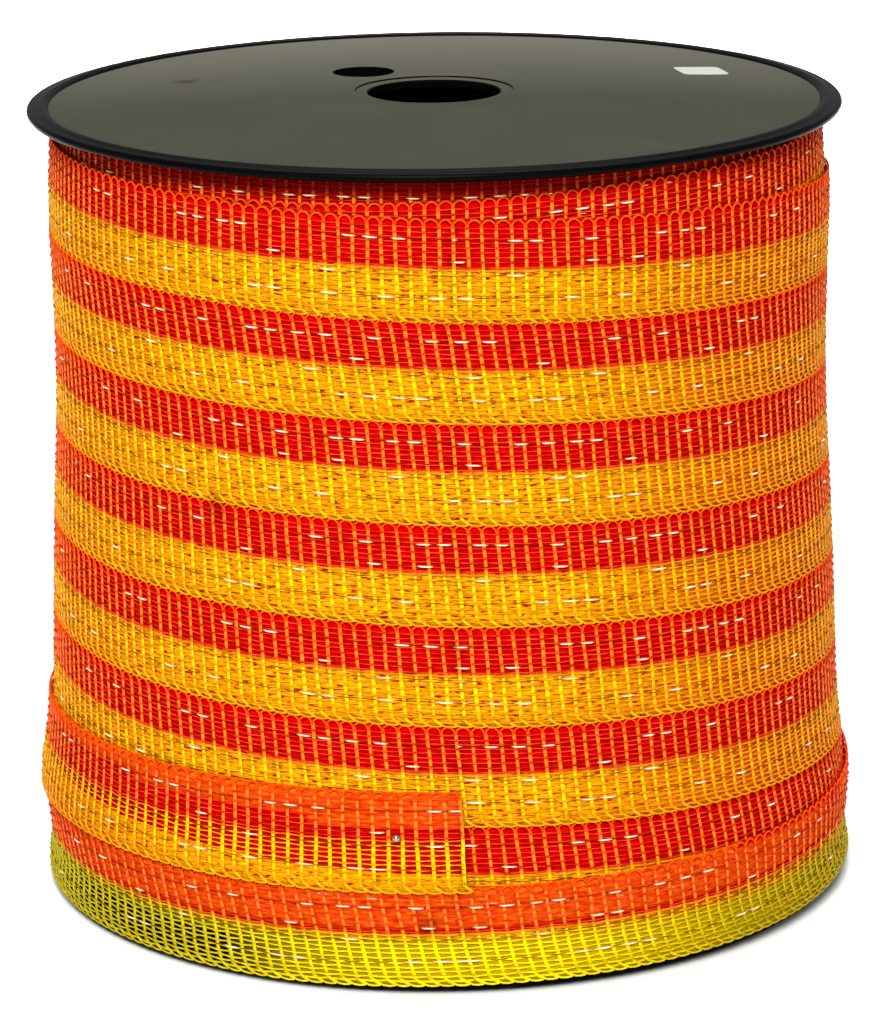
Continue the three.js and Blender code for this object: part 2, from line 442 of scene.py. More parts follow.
# %% [markdown]
# The roll under the visible turns
# About 200 m of tape lie under the turns that can be seen. They are one closed turned
# body here, a little smaller than the outside of the weave, with the bore that the core
# goes through. Next to nothing of it shows, so its finish is a plain dark red.

# %% The body of the roll
ROLL_BORE = 50.6
ROLL_SHARP_ANGLE = np.radians(50)


def roll_body():
    """A closed surface of revolution, with radius outside(height) - depth, and a bore.

    The depth grows near the upper flange, where the climbing layer lies outside it.
    """
    heights = np.linspace(HEM_HEIGHT + 0.8, LIP_HEIGHT - 3.2, 30)
    depth = np.interp(heights, (0, 18, 30, 130, 142), (2.1, 2.1, 2.2, 1.6, 3.2))
    radius = smooth_through(heights, OUTSIDE) - depth
    radius = np.concatenate([radius, [ROLL_BORE, ROLL_BORE]])
    heights = np.concatenate([heights, heights[[-1, 0]]])
    points, faces = turned(radius, heights, 120)
    points[:, 0] += ROLL_SHIFT
    return points, faces, 0, None


deep_tape = plain_material("woven tape, deep in the roll", "#5c0800", 0.8, 0.0)
body = mesh_of("roll_body", [roll_body()], [deep_tape], ROLL_SHARP_ANGLE)
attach(body, "root")
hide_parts("tape_roll")
print("roll body triangles:", triangles(body))

# %% [markdown]
# One turn of the weave
# A turn is 182 picks with their arches and stitches, and the threads that run along. A
# thread that passes over a pick stands proud there, is pressed flat and wide, and dives
# under the next pick. The steel wires do the same, but float over a few picks now and
# then, and those floats are painted bright as glints, more often on the front.

# %% Irregularity, lean and the path of a warp
WEFT, WARP, STEEL, BELOW = 0, 1, 2, 3


def wobble(x, seed):
    """A smooth irregular number from -1 to 1: three sines of unrelated lengths."""
    return (
        np.sin(1.13 * x + 7.1 * seed)
        + np.sin(0.41 * x + 3.3 * seed + 1.0)
        + np.sin(2.57 * x + 5.7 * seed + 2.0)
    ) / 3


def leaning(around, below):
    """The place round the roll at this depth, for a pick that stands at around.

    The shift to the right is lean (below - half the width), and grows with the square of
    the depth where the ribbon turns over the lower rim.
    """
    lean = np.interp(around, LEAN[:, 0], LEAN[:, 1])
    over_rim = np.clip(1 - np.abs(around - 2510) / 150, 0, 1)
    shift = lean * (below - TAPE_WIDTH / 2) + 0.012 * over_rim * np.maximum(below - 9, 0) ** 2
    return around + shift / MM_A_DEGREE


def run_of_warp(picks, stand, rows, reach):
    """Places along and across the tape for threads at these rows, and their relief.

    A thread has a crossing at every pick, and points at +- reach of a pick beside it.
    The relief is +1 where it lies over a pick and -1 where it lies under, and changes
    from pick to pick and from thread to thread.
    """
    offsets = np.array([0.0, 0.5]) if reach is None else np.array([-reach, 0.0, reach])
    along = (picks[:, None] + offsets).ravel()
    crossing = np.tile(offsets == 0, len(picks))
    place = np.interp(along, picks, stand)
    number = np.arange(len(rows))[:, None]
    below = rows[:, None] + 0.1 * wobble(along[None, :] * 0.21, number + rows[0])
    sign = 1 - 2 * ((np.round(along)[None, :] + number) % 2)
    relief = np.where(crossing[None, :], sign, 0 if reach is None else 0.35 * sign)
    return leaning(place[None, :], below), below, relief, crossing[None, :], along[None, :]


print("the first numbers of a wobble:", wobble(np.arange(3), 1).round(2).tolist())

# %% All threads of one turn


def turn_of_tape(first, last, shown=TAPE_WIDTH):
    """The parts of all threads from pick number first to last, down to shown mm."""
    picks = np.arange(first, last + 1)
    stand = picks * PICK_DEGREES + 0.12 * wobble(picks * 1.0, 1)
    own = slice(None) if last == LAST_PICK else slice(0, -1)
    parts = []

    foot = min(shown, STITCH_TOP + 0.1)
    below = np.linspace(1.0, foot, 7)[None, :]
    around = leaning(stand[own, None], below)
    around = around + 0.1 * wobble(below * 0.7 + 2.9 * picks[own, None], 2)
    width = np.where(below < TAPE_WIDTH / 2, 0.43, 0.5)
    width = width + 0.06 * wobble(picks[own, None] * 1.0, 8)
    parts.append(threads(around, below, 0.0, width, 0.15, 4, WEFT))

    bend = np.linspace(0, np.pi, 6)[None, :]
    middle = (stand[:-1] + stand[1:])[:, None] / 2
    half = (stand[1:] - stand[:-1])[:, None] / 2
    rise = ARCH_DEPTH + 0.15 * wobble(picks[:-1] * 1.0, 3)[:, None]
    around = leaning(middle, 0.0) - half * np.cos(bend)
    parts.append(threads(around, rise * (1 - np.sin(bend)), 0.1, 0.27, 0.15, 3, WEFT))

    rows = ORANGE_WARPS[ORANGE_WARPS < shown]
    around, below, relief, crossing, _ = run_of_warp(picks, stand, rows, 0.2)
    width = np.where(crossing, 0.3, 0.12)
    parts.append(threads(around, below, 0.26 * relief + 0.02, width, 0.1, 3, WARP))

    rows = STEEL_WIRES[STEEL_WIRES < shown]
    around, below, relief, _, along = run_of_warp(picks, stand, rows, None)
    number = np.arange(len(rows))[:, None]
    below = below + 0.15 * wobble(along * 0.17, number + 40)
    often = np.array([0.2, 0.6, 0.6, 0.25])[: len(rows), None]
    # Painted glints: floats come more often on the front, where the lamps would make them shine.
    facing = np.cos(np.radians(around))
    swing = wobble(along * 1.3, number + 60)
    top = (swing >= np.roll(swing, 1, axis=1)) & (swing > np.roll(swing, -1, axis=1))
    top &= swing > often + 0.7 * (1 - facing)
    floats = top | np.roll(top, 1, axis=1)
    relief = np.where(floats, 1.5, relief * 0.9)
    width = np.where(floats, 0.2, 0.08)
    wires = threads(around, below, 0.26 * relief + 0.04, width, 0.12, 3, STEEL)
    # bright carries each float's painted glint to the steel material.
    bright = 0.75 + 0.25 * wobble(along * 3.0, number)
    bright = np.where(floats, bright, 0.3 * (rows[:, None] > COLOUR_CHANGE))
    bright = np.repeat(bright.ravel(), 3)
    parts.append((*wires[:3], np.stack([wires[3][:, 0], bright], axis=-1)))
    if shown < TAPE_WIDTH:
        return parts

    around, below, relief, crossing, _ = run_of_warp(picks, stand, YELLOW_WARPS, None)
    width = np.where(crossing, 0.29, 0.2)
    width = np.where(np.abs(around - LOOSE_END_MIDDLE) < LOOSE_END_REACH, 0.75, 1.0) * width
    parts.append(threads(around, below, 0.24 * relief + 0.02, width, 0.11, 3, WARP))

    slant = np.linspace(0, 1, 4)[None, :]
    depth = STITCH_TOP + (TAPE_WIDTH - 0.35 - STITCH_TOP) * slant
    around = leaning(stand[own, None], depth) + 0.5 * PICK_DEGREES * slant**1.3
    parts.append(threads(around, depth, 0.02, 0.42, 0.15, 3, WEFT))

    hang = np.linspace(0, np.pi, 5)[None, :]
    depth = TAPE_WIDTH - 0.5 + 0.42 * np.sin(hang)
    middle = leaning((stand[:-1] + stand[1:])[:, None] / 2 + 0.5 * PICK_DEGREES, depth)
    around = middle - half * np.cos(hang) * 1.05
    parts.append(threads(around, depth, 0.06, 0.24, 0.13, 3, WEFT))
    return parts


print("material slots of a turn:", {"weft": WEFT, "warp": WARP, "steel": STEEL, "below": BELOW})

# %% The layer below the weave


def layer_below(first, last, shown=TAPE_WIDTH):
    """A thin closed strip under the weave, for the layer seen through its gaps.

    Its ring runs down the ribbon 0.35 mm below the weave, and back up 0.08 mm deeper.
    Its v is the ribbon's own, but where the last turns lie over earlier ones v is theirs:
    1 minus the share of a turn's pitch that this height is below their top edge. Where an
    orange half lies over a yellow half, v is 2.
    """
    picks = np.arange(first, last + 1)
    rows = np.linspace(SHEET_EDGE, min(shown, TAPE_WIDTH - SHEET_EDGE), SHEET_ROWS)
    below = np.concatenate([rows, rows[::-1]])[None, :]
    out = np.repeat(SHEET_OUT, SHEET_ROWS)[None, :]
    around = leaning(picks[:, None] * PICK_DEGREES, below)
    around, below, out = np.broadcast_arrays(around, below, out)
    path, _ = tape_point(around, below, out)
    points, faces = skin(path[None])
    uv = tape_uv(around, below, 1)
    beneath = around - np.where(around > SECOND_OVERLAP_FROM, 720, 360)
    share = (smooth_through(beneath, TOP_EDGE) - path[..., 2]) / TURN_PITCH
    share = np.where(share < 0, share + 1, np.minimum(share, 0.98))
    theirs = np.where((below < COLOUR_CHANGE) & (share > YELLOW_FROM), 2.0, 1 - share)
    uv[:, 1] = np.where(around > OVERLAP_FROM, theirs, uv[:, 1].reshape(around.shape)).ravel()
    return points, faces, BELOW, uv


print("rows across the layer below:", SHEET_ROWS)

# %% [markdown]
# The finish of the threads
# The yarns are bright polyethylene monofilaments, dyed right through and a little shiny.
# Their colour changes half way across the tape, so it is a ramp across the ribbon. The
# conductors are stainless steel wires, about a quarter of a millimetre thick. The pieces'
# uv map tells a material where on the tape it is, and their Object coordinates tell it
# where on the spool, because light and what lies behind change the colour too.

# %% What the thread materials share
# Patches to the metre along the tape and up it: 3.8 mm by 0.7 mm on the yarns, and 1.9 mm
# by 0.7 mm on the layer below.
YARN_PATCHES = (260.0, 1500.0, 1.0)
LAYER_STREAKS = (520.0, 1400.0, 1.0)

# Soft dark spots where something oily touched the tape: middle, reach and strength.
TAPE_SPOTS = (((-41.9, -64.6, 91.0), 3.2, 0.45), ((-2.8, -81.0, 14.0), 3.0, 0.45))


def tape_place(tree):
    """The distance along the tape and the share up it, from the uv map."""
    lying = add(tree, "ShaderNodeUVMap", {"uv_map": "tape"}).outputs[0]
    split = add(tree, "ShaderNodeSeparateXYZ", in_0=lying)
    return split.outputs["X"], split.outputs["Y"]


def object_place(tree):
    """The place on the object, its three numbers, and how far it is round to the side.

    At the sides the openings are seen aslant, and more of the red beneath shows through. The
    darker, redder colour that this share mixes in is also painted shade, as the spool turns
    away from the light there.
    """
    place = add(tree, "ShaderNodeTexCoord").outputs["Object"]
    axes = add(tree, "ShaderNodeSeparateXYZ", in_0=place).outputs
    right = add(tree, "ShaderNodeMapRange", in_0=axes["X"], in_1=22 * MM, in_2=55 * MM)
    left = add(
        tree, "ShaderNodeMapRange", in_0=axes["X"], in_1=-50 * MM, in_2=-76 * MM, in_4=0.6
    )
    side = add(
        tree, "ShaderNodeMath", {"operation": "ADD"}, in_0=right.outputs[0],
        in_1=left.outputs[0],
    )
    return place, axes, side.outputs[0]


def streaks(tree, along, height, patches):
    """A noise stretched along the tape, with this many patches to the metre each way."""
    lengthwise = add(tree, "ShaderNodeCombineXYZ", X=along, Y=height).outputs[0]
    stretch = add(tree, "ShaderNodeMapping", Vector=lengthwise, Scale=patches).outputs[0]
    return add(tree, "ShaderNodeTexNoise", Vector=stretch, Scale=1.0, Detail=2.0).outputs[0]


def shaded(tree, axes, colour, dark, strength):
    """Painted shade: the colour darkened close under the upper rim, most of all in front."""
    left = add(
        tree, "ShaderNodeMapRange", in_0=axes["X"], in_1=-45 * MM, in_2=-65 * MM, in_4=0.6
    )
    right = add(
        tree, "ShaderNodeMapRange", in_0=axes["X"], in_1=15 * MM, in_2=40 * MM, in_4=0.6
    )
    beside = add(
        tree, "ShaderNodeMath", {"operation": "ADD"}, in_0=left.outputs[0],
        in_1=right.outputs[0],
    )
    front = add(
        tree, "ShaderNodeMapRange", in_0=beside.outputs[0], in_3=strength, in_4=0.0
    )
    high = add(
        tree, "ShaderNodeMapRange", in_0=axes["Z"], in_1=150.8 * MM, in_2=152.8 * MM
    )
    share = add(
        tree, "ShaderNodeMath", {"operation": "MULTIPLY"}, in_0=front.outputs[0],
        in_1=high.outputs[0],
    )
    return add(
        tree, "ShaderNodeMix", OF_COLOURS, in_0=share.outputs[0], in_6=colour,
        in_7=linear(dark),
    ).outputs[2]


print("patches on the yarns, mm:", [round(1000 / count, 1) for count in YARN_PATCHES[:2]])

# %% The dyed yarns


def lemon_of(tree, axes):
    """The yarn's colour low on the spool, where only the black rim lies behind it."""
    # Painted shade: the lemon is darker towards the left and the right, where the spool turns
    # away from the light.
    left = add(tree, "ShaderNodeMapRange", in_0=axes["X"], in_1=-55 * MM, in_2=-10 * MM)
    middle = add(
        tree, "ShaderNodeMix", OF_COLOURS, in_0=left.outputs[0], in_6=linear("#bcac10"),
        in_7=linear("#f0d800"),
    )
    right = add(tree, "ShaderNodeMapRange", in_0=axes["X"], in_1=20 * MM, in_2=60 * MM)
    return add(
        tree, "ShaderNodeMix", OF_COLOURS, in_0=right.outputs[0], in_6=middle.outputs[2],
        in_7=linear("#b8a000"),
    ).outputs[2]


def yarn_material(name, stops, faded):
    """Polyethylene yarn with this ramp of colours from the lower to the upper edge.

    The yarn lets light through. Where red tape lies behind it the yellow looks warm, and
    low on the spool, where only the black rim does, it turns lemon; towards the sides both
    are darker, with painted shade. Along the tape it comes and goes: faded gives the
    colours, in the upper and the lower half, that it sinks to, and how far. Close under the
    upper rim it is in the rim's deep shade, painted in.
    """
    material, tree = blank_material(name)
    along, up = tape_place(tree)
    place, axes, side = object_place(tree)
    fresh = add(tree, "ShaderNodeValToRGB", in_0=up)
    ramp(fresh, *stops)
    sunk = add(tree, "ShaderNodeValToRGB", in_0=up)
    ramp(sunk, (0.5, faded[1]), (0.54, faded[0]))
    patch = streaks(tree, along, axes["Z"], YARN_PATCHES)
    depth = add(tree, "ShaderNodeMapRange", in_0=patch, in_1=0.42, in_2=0.58, in_4=faded[2])
    colour = add(
        tree, "ShaderNodeMix", OF_COLOURS, in_0=depth.outputs[0], in_6=fresh.outputs[0],
        in_7=sunk.outputs[0],
    ).outputs[2]
    yellow = add(tree, "ShaderNodeMapRange", in_0=up, in_1=0.54, in_2=0.5, in_4=0.5)
    # The mix at the sides is partly painted shade.
    aslant = add(
        tree, "ShaderNodeMath", {"operation": "MULTIPLY"}, in_0=side,
        in_1=yellow.outputs[0],
    )
    colour = add(
        tree, "ShaderNodeMix", OF_COLOURS, in_0=aslant.outputs[0], in_6=colour,
        in_7=linear("#e87c04"),
    ).outputs[2]
    low = add(
        tree, "ShaderNodeMapRange", in_0=axes["Z"], in_1=12.5 * MM, in_2=9.5 * MM
    )
    colour = add(
        tree, "ShaderNodeMix", OF_COLOURS, in_0=low.outputs[0], in_6=colour,
        in_7=lemon_of(tree, axes),
    ).outputs[2]
    colour = shaded(tree, axes, colour, "#7c0a04", 0.95)
    colour = spotted(tree, place, colour, TAPE_SPOTS)
    uneven = add(tree, "ShaderNodeTexNoise", Vector=place, Scale=700.0, Detail=2.0)
    bright = add(
        tree, "ShaderNodeMapRange", in_0=uneven.outputs[0], in_1=0.3, in_2=0.7, in_3=0.78,
        in_4=1.15,
    )
    colour = add(
        tree, "ShaderNodeVectorMath", {"operation": "SCALE"}, in_0=colour,
        Scale=bright.outputs[0],
    ).outputs[0]
    shader = add(
        tree, "ShaderNodeBsdfPrincipled", Base_Color=colour, Roughness=0.5,
        Specular_IOR_Level=0.06,
    )
    add(tree, "ShaderNodeOutputMaterial", Surface=shader.outputs[0])
    return material


weft_yarn = yarn_material(
    "weft yarn",
    (
        (0.0, "#f49404"), (0.09, "#fcc400"), (0.5, "#fcc800"), (0.54, "#f47c14"),
        (0.9, "#f47414"), (0.95, "#ec4408"),
    ),
    ("#e86008", "#e8a000", 0.5),
)
warp_yarn = yarn_material(
    "warp yarn", ((0.0, "#f09c02"), (0.5, "#f0a808"), (0.53, "#f04c28"), (1.0, "#f0482c")),
    ("#c80c04", "#cc7c04", 0.85),
)
print("yarns:", weft_yarn.name, "and", warp_yarn.name)

# %% The steel wires and the layer below


def steel_material():
    """Stainless wire: dark among the yarns, painted bright as a glint where it floats."""
    material, tree = blank_material("drawn stainless wire")
    _, bright = tape_place(tree)
    colour = add(tree, "ShaderNodeValToRGB", in_0=bright)
    # The light stops of this ramp are painted glints.
    ramp(
        colour, (0.0, "#981804"), (0.2, "#981804"), (0.3, "#744004"), (0.5, "#d0b888"),
        (0.9, "#fff0d0"),
    )
    shader = add(
        tree, "ShaderNodeBsdfPrincipled", Base_Color=colour.outputs[0], Roughness=0.5,
        Specular_IOR_Level=0.0,
    )
    add(tree, "ShaderNodeOutputMaterial", Surface=shader.outputs[0])
    return material


def olive_of(tree, axes):
    """The layer's colour over the lower rim: olive, with black openings on the left."""
    left = add(tree, "ShaderNodeMapRange", in_0=axes["X"], in_1=-28 * MM, in_2=-42 * MM)
    open_rows = add(
        tree, "ShaderNodeMapRange", in_0=axes["Z"], in_1=9.4 * MM, in_2=8.4 * MM
    )
    hollow = add(
        tree, "ShaderNodeMath", {"operation": "MULTIPLY"}, in_0=left.outputs[0],
        in_1=open_rows.outputs[0],
    )
    # Painted shade: the olive is darker towards the left, where the spool turns away from the
    # light.
    near_front = add(tree, "ShaderNodeMapRange", in_0=axes["X"], in_1=-40 * MM, in_2=0.0)
    front = add(
        tree, "ShaderNodeMix", OF_COLOURS, in_0=near_front.outputs[0],
        in_6=linear("#807000"), in_7=linear("#b49400"),
    )
    return add(
        tree, "ShaderNodeMix", OF_COLOURS, in_0=hollow.outputs[0], in_6=front.outputs[2],
        in_7=linear("#0c0a02"),
    ).outputs[2]


def below_material():
    """The layer below, seen through the gaps.

    Under the orange half it is deep red. Under the yellow half it is streaked along the
    tape with amber threads and dark openings, and over the lower rim it is olive. Where
    the uv map's v is 2 it is orange.
    """
    material, tree = blank_material("woven tape, layer below")
    along, up = tape_place(tree)
    place, axes, side = object_place(tree)
    streak = streaks(tree, along, axes["Z"], LAYER_STREAKS)
    red = add(tree, "ShaderNodeValToRGB", in_0=streak)
    ramp(red, (0.3, "#9c0000"), (0.5, "#b40003"), (0.75, "#cc0804"))
    amber = add(tree, "ShaderNodeValToRGB", in_0=streak)
    ramp(
        amber, (0.34, "#981c00"), (0.41, "#cc6400"), (0.46, "#e09a08"), (0.6, "#ecb008"),
        (0.75, "#fcc808"),
    )
    orange = add(tree, "ShaderNodeValToRGB", in_0=streak)
    ramp(orange, (0.35, "#c43000"), (0.5, "#dc4c04"), (0.7, "#ec6c0c"))
    # The mix at the sides is partly painted shade.
    aslant = add(tree, "ShaderNodeMath", {"operation": "MULTIPLY"}, in_0=side, in_1=0.75)
    warm = add(
        tree, "ShaderNodeMix", OF_COLOURS, in_0=aslant.outputs[0], in_6=amber.outputs[0],
        in_7=linear("#c83c04"),
    )
    upper_half = add(tree, "ShaderNodeMapRange", in_0=up, in_1=0.515, in_2=0.54)
    colour = add(
        tree, "ShaderNodeMix", OF_COLOURS, in_0=upper_half.outputs[0],
        in_6=warm.outputs[2], in_7=red.outputs[0],
    ).outputs[2]
    double = add(tree, "ShaderNodeMapRange", in_0=up, in_1=1.2, in_2=1.7)
    colour = add(
        tree, "ShaderNodeMix", OF_COLOURS, in_0=double.outputs[0], in_6=colour,
        in_7=orange.outputs[0],
    ).outputs[2]
    low = add(
        tree, "ShaderNodeMapRange", in_0=axes["Z"], in_1=12.0 * MM, in_2=10.5 * MM
    )
    colour = add(
        tree, "ShaderNodeMix", OF_COLOURS, in_0=low.outputs[0], in_6=colour,
        in_7=olive_of(tree, axes),
    ).outputs[2]
    # Painted shade close under the upper rim.
    colour = shaded(tree, axes, colour, "#6c0400", 0.7)
    colour = spotted(tree, place, colour, TAPE_SPOTS)
    shader = add(
        tree, "ShaderNodeBsdfPrincipled", Base_Color=colour, Roughness=0.8,
        Specular_IOR_Level=0.0,
    )
    add(tree, "ShaderNodeOutputMaterial", Surface=shader.outputs[0])
    return material


tape_materials = [weft_yarn, warp_yarn, steel_material(), below_material()]
print("materials of a turn:", [material.name for material in tape_materials])

# %% [markdown]
# Winding the tape on
# Nine whole turns show. Under the upper rim two stretches of the layer below show their
# upper part, and at the foot one stretch shows at the back, where the last turns climb.
# Each is a piece of its own, because one mesh of all of them would be too heavy.

# %% Nine turns and three stretches beside them
SHOWN_UNDER_RIM = 8.0


def pick_at(around):
    """The number of the pick at this many degrees round."""
    return int(around / PICK_DEGREES)


runs = [
    (pick_at(-830), pick_at(-640), SHOWN_UNDER_RIM),
    (pick_at(-470), FIRST_PICK, SHOWN_UNDER_RIM),
    (pick_at(2960), pick_at(3135), TAPE_WIDTH),
]
turn_starts = np.arange(FIRST_PICK, LAST_PICK, PICKS_A_TURN)
runs += [(first, first + PICKS_A_TURN, TAPE_WIDTH) for first in turn_starts]
total = 0
for number, (first, last, shown) in enumerate(runs):
    parts = [*turn_of_tape(first, last, shown), layer_below(first, last, shown)]
    turn = mesh_of(f"tape_turn_{number}", parts, tape_materials)
    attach(turn, "root")
    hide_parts("tape_roll")
    total += triangles(turn)
print("runs of tape:", len(runs), "triangles in all:", total)

# %% [markdown]
# The spool's flanges
# Each flange is one injection moulded disc of black polypropylene. Its rim is rolled over
# into a bead that guides the tape, a narrow lip stands just inside the bead, and the face
# rises a little towards the middle. In the middle is the axle bore in a shallow recess,
# and beside it the drive hole. Turning one outline round the axis gives the whole disc.

# %% The outline of a flange
PLATE = 2.2
LIP_RISE = 0.7
CROWN_RISE = 1.9
FACE_ENDS = 75.4
RIM_STARTS = 76.2
BORE_RADIUS = 13.05
RECESS_RADIUS = 15.5
HOLE_RADIUS = 6.2
HOLE_PLACE = (-14.1, 20.7)

# A greasy thumb mark on the face: middle, reach and strength.
FACE_SPOTS = (((-49.6, 18.1, 158.3), 3.4, 0.75),)


def flange_profile(rise):
    """Points (radius, height over the lip's crest), round the section and closed.

    The face is 0.7 below the crest at the lip, and rises by rise (1 - s) inwards, where s
    is 0 out to the crown's flat and runs smoothly, 3 t^2 - 2 t^3, to 1 at the lip. The
    lip rises as half a sine wave and falls off to the bead, which is an arc.
    """
    middle = rise - LIP_RISE
    crown_r = np.linspace(RECESS_RADIUS + 0.35, FLANGE_RADIUS - 4.6, 16)
    crown_t = np.clip((crown_r - 30) / (crown_r[-1] - 30), 0, 1)
    crown = middle - rise * (3 * crown_t**2 - 2 * crown_t**3) ** 0.8
    lip_r = np.linspace(FLANGE_RADIUS - 4.3, FLANGE_RADIUS - 1.75, 12)
    lip_t = (lip_r - lip_r[0]) / (lip_r[-1] - lip_r[0])
    lip_in = -LIP_RISE + LIP_RISE * np.sin(np.pi * lip_t) ** 0.6
    lip_out = -0.3 * np.abs(2 * lip_t - 1) ** 1.5
    lip = np.where(lip_t < 0.5, lip_in, lip_out)
    turn = np.linspace(np.pi * 0.5, -np.pi / 2, 14)
    bead_r = FLANGE_RADIUS - 0.85 + 0.85 * np.cos(turn)
    bead_h = -1.2 + 0.8 * np.sin(turn)
    back = middle - PLATE
    under_r = np.array([FLANGE_RADIUS - 2.5, FLANGE_RADIUS - 4.4, 47.2, 47.2, 45.2, 45.2])
    under_h = np.array([-2.0, -2.9, back, back - 8, back - 8, back])
    bore_r = np.array([BORE_RADIUS + 0.2, BORE_RADIUS, BORE_RADIUS, BORE_RADIUS + 0.25])
    bore_h = np.array([back, back + 0.2, middle - 0.75, middle - 0.5])
    step_r = np.array([RECESS_RADIUS - 0.25, RECESS_RADIUS, RECESS_RADIUS + 0.1])
    step_h = np.array([middle - 0.5, middle - 0.4, middle - 0.1])
    radius = np.concatenate([bore_r, step_r, crown_r, lip_r, bead_r, under_r])
    height = np.concatenate([bore_h, step_h, crown, lip, bead_h, under_h])
    return radius, height


profile_radius, profile_height = flange_profile(CROWN_RISE)
print("outline of a flange:", len(profile_radius), "points")

# %% Turning and drilling a flange


def flange(name, crest, facing, rise):
    """The outline turned round the axis, at z = crest + facing * height, and drilled."""
    radius, height = flange_profile(rise)
    points, faces = turned(radius, crest + facing * height, 168)
    disc = mesh_of(name, [(points, faces, 0, None)], [black_plastic], SHARP_ANGLE)
    drill_hole(disc)
    return disc


def drill_hole(disc):
    """Takes a round cylinder out of the disc, and keeps only the result's mesh."""
    steps = 48
    angle = TURN * np.arange(steps) / steps
    ends = np.array([-20.0, 200.0])
    rings = np.empty((1, 2, steps, 3))
    rings[0, :, :, 0] = HOLE_PLACE[0] + HOLE_RADIUS * np.cos(angle)
    rings[0, :, :, 1] = HOLE_PLACE[1] + HOLE_RADIUS * np.sin(angle)
    rings[0, :, :, 2] = ends[:, None]
    points, faces = skin(rings)
    drill = mesh_of("drill", [(points, faces, 0, None)], [black_plastic])
    cut = disc.modifiers.new("drive hole", "BOOLEAN")
    cut.operation = "DIFFERENCE"
    cut.solver = "EXACT"
    cut.object = drill
    graph = bpy.context.evaluated_depsgraph_get()
    result = bpy.data.meshes.new_from_object(disc.evaluated_get(graph))
    disc.modifiers.clear()
    disc.data = result
    result.set_sharp_from_angle(angle=SHARP_ANGLE)
    bpy.data.objects.remove(drill)


print("drive hole, mm across:", 2 * HOLE_RADIUS)

# %% The moulded black plastic


def black_plastic_material():
    """Moulded polypropylene: black, with a fine matt grain on the face.

    The face's olive grey is painted light, the sheen that the lamps and the bright ground give
    it, and it is lighter towards the back, a painted reflection. The rim and every steep
    wall are smooth and keep the plain black. The distance from the axis and the slope of the
    surface part the two.
    """
    material, tree = blank_material("moulded black polypropylene")
    place = add(tree, "ShaderNodeTexCoord").outputs["Object"]
    axes = add(tree, "ShaderNodeSeparateXYZ", in_0=place).outputs
    flat = add(tree, "ShaderNodeCombineXYZ", X=axes["X"], Y=axes["Y"])
    reach = add(tree, "ShaderNodeVectorMath", {"operation": "LENGTH"}, in_0=flat.outputs[0])
    outer = add(
        tree, "ShaderNodeMapRange", in_0=reach.outputs["Value"], in_1=FACE_ENDS * MM,
        in_2=RIM_STARTS * MM,
    )
    # Steep walls, such as the drive hole's and the recess step's, keep the black, without the
    # painted sheen.
    normal = add(tree, "ShaderNodeNewGeometry").outputs["Normal"]
    level = add(tree, "ShaderNodeSeparateXYZ", in_0=normal).outputs["Z"]
    steep = add(tree, "ShaderNodeMapRange", in_0=level, in_1=0.95, in_2=0.8)
    rim = add(
        tree, "ShaderNodeMath", {"operation": "MAXIMUM"}, in_0=outer.outputs[0],
        in_1=steep.outputs[0],
    ).outputs[0]
    # Painted light: this olive grey ramp is the face's sheen, with a random mottle.
    mottle = add(tree, "ShaderNodeTexNoise", Vector=place, Scale=60.0, Detail=5.0)
    face = add(tree, "ShaderNodeValToRGB", in_0=mottle.outputs[0])
    ramp(face, (0.3, "#35382c"), (0.5, "#37372b"), (0.7, "#3b3a2f"))
    # Painted reflection: the face is lighter towards the back.
    back = add(tree, "ShaderNodeMapRange", in_0=axes["Y"], in_1=-10 * MM, in_2=75 * MM)
    colour = add(
        tree, "ShaderNodeMix", OF_COLOURS, in_0=back.outputs[0], in_6=face.outputs[0],
        in_7=linear("#5d5b50"),
    ).outputs[2]
    colour = spotted(tree, place, colour, FACE_SPOTS)
    colour = add(
        tree, "ShaderNodeMix", OF_COLOURS, in_0=rim, in_6=colour, in_7=linear("#050506")
    ).outputs[2]
    rough = add(tree, "ShaderNodeMapRange", in_0=rim, in_3=0.62, in_4=0.3)
    gloss = add(tree, "ShaderNodeMapRange", in_0=rim, in_3=0.05, in_4=0.02)
    grain = add(tree, "ShaderNodeTexNoise", Vector=place, Scale=1400.0, Detail=2.0)
    bump = add(
        tree, "ShaderNodeBump", Strength=0.25, Distance=0.02 * MM, Height=grain.outputs[0]
    )
    shader = add(
        tree, "ShaderNodeBsdfPrincipled", Base_Color=colour, Roughness=rough.outputs[0],
        Specular_IOR_Level=gloss.outputs[0], Normal=bump.outputs[0],
    )
    add(tree, "ShaderNodeOutputMaterial", Surface=shader.outputs[0])
    return material


black_plastic = black_plastic_material()
print("plastic:", black_plastic.name, "with", len(black_plastic.node_tree.nodes), "nodes")

# %% Both flanges
for name, crest, facing, rise in (
    ("top_flange", LIP_HEIGHT, 1, CROWN_RISE),
    ("bottom_flange", 0, -1, 0.0),
):
    disc = flange(name + "_shown", crest, facing, rise)
    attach(disc, "root")
    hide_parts(name)
    print(name, "triangles:", triangles(disc))

# %% [markdown]
# The small pieces
# A small paper sticker with round corners lies on the upper flange, and it is left bare
# here. The tape's end is held by a pin with a ball head, pushed into the roll. The core
# is the barrel that joins the flanges, and all of it is hidden under the tape.

# %% The bare sticker
STICKER_MIDDLE = (53.9, 24.6)
STICKER_TURN = np.radians(12.7)
STICKER_SIZE = 9.5

# The numbers of the first point on the flange outline's face, and of the one past its last.
FACE_POINTS = (7, 23)


